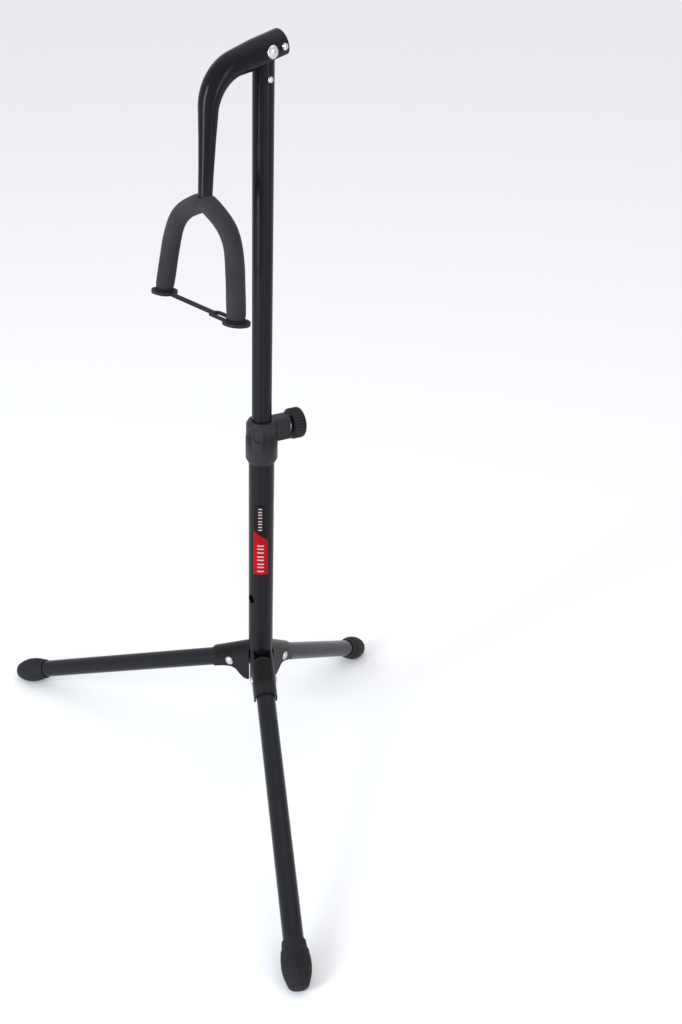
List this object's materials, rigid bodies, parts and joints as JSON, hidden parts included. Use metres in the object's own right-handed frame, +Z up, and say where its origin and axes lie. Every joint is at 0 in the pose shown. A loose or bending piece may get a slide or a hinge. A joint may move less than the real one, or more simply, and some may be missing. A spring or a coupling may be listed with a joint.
{
  "type": "folding guitar rack",
  "caption": "Tripod guitar rack with folding legs, a telescopic column with a clamp collar, and a folding neck arm with a padded yoke and strap.",
  "frame": {"origin": "centre of the base of the bounding box, on the floor", "axes": "+Z up along the column; -Y is the side the neck arm and yoke stand out on; +X to the right seen from the back of the yoke"},
  "size_m": [0.5844, 0.4134, 0.7572],
  "materials": {
    "tube_black": "satin black powder coat",
    "hub_black": "satin black powder coat",
    "plastic_dark": "matte moulded plastic",
    "rubber_grey": "matte rubber",
    "foam_grey": "closed-cell foam, matte",
    "rivet_steel": "bright zinc",
    "screw_steel": "zinc plated",
    "brass": "plain",
    "nylon": "natural nylon",
    "label_dark": "printed film",
    "label_red": "printed film"
  },
  "bodies": {
    "base": {"lower_tube": "tube_black", "label_upper": "label_dark", "label_lower": "label_red", "column_bush": "nylon", "clamp_collar": "plastic_dark", "clamp_nut": "brass", "leg_hub": "hub_black", "column_plug": "screw_steel", "base_washer": "screw_steel", "base_screw": "screw_steel", "leg_rivet_left": "rivet_steel", "leg_rivet_right": "rivet_steel", "leg_rivet_rear": "rivet_steel"},
    "knob": {"clamp_knob": "plastic_dark", "clamp_screw": "screw_steel", "clamp_pad": "nylon", "clamp_washer": "screw_steel"},
    "glide": {"glide_sleeve": "nylon"},
    "upper_column": {"upper_tube": "tube_black", "pivot_insert": "hub_black", "insert_rivet": "rivet_steel"},
    "neck": {"neck_arm": "tube_black", "hinge_rivet": "rivet_steel", "tail_rivet": "rivet_steel", "yoke_rod": "hub_black", "foam_sleeve_left": "foam_grey", "foam_sleeve_right": "foam_grey", "tip_cap_left": "rubber_grey", "tip_cap_right": "rubber_grey", "neck_strap": "rubber_grey"},
    "leg_left": {"leg_tube_left": "tube_black", "foot_left": "rubber_grey"},
    "leg_right": {"leg_tube_right": "tube_black", "foot_right": "rubber_grey"},
    "leg_rear": {"leg_tube_rear": "tube_black", "foot_rear": "rubber_grey"}
  },
  "joints": [
    {"name": "leg_left_fold", "type": "hinge", "parent": "base", "child": "leg_left", "pos_m": [-0.0154, -0.03752, 0.12724], "axis": [0.3891, -0.9212, 0], "range_deg": [0, 67]},
    {"name": "leg_right_fold", "type": "hinge", "parent": "base", "child": "leg_right", "pos_m": [0.03933, -0.04207, 0.12715], "axis": [0.5358, 0.8443, 0], "range_deg": [0, 67]},
    {"name": "leg_rear_fold", "type": "hinge", "parent": "base", "child": "leg_rear", "pos_m": [0.00165, 0.00332, 0.1227], "axis": [-0.9285, -0.3714, 0], "range_deg": [0, 60]},
    {"name": "height_slide", "type": "slide", "parent": "base", "child": "glide", "axis": [0, 0, 1], "range_m": [0, 0.16]},
    {"name": "column_swivel", "type": "hinge", "parent": "glide", "child": "upper_column", "pos_m": [0.01316, -0.02546, 0.18], "axis": [0, 0, 1], "continuous": true},
    {"name": "arm_fold", "type": "hinge", "parent": "upper_column", "child": "neck", "pos_m": [0.01316, -0.02546, 0.741], "axis": [-1, 0, 0], "range_deg": [0, 103]},
    {"name": "knob_turn", "type": "hinge", "parent": "base", "child": "knob", "pos_m": [0.01316, -0.02546, 0.396], "axis": [0.1908, 0.9816, 0], "range_deg": [0, 360]}
  ]
}
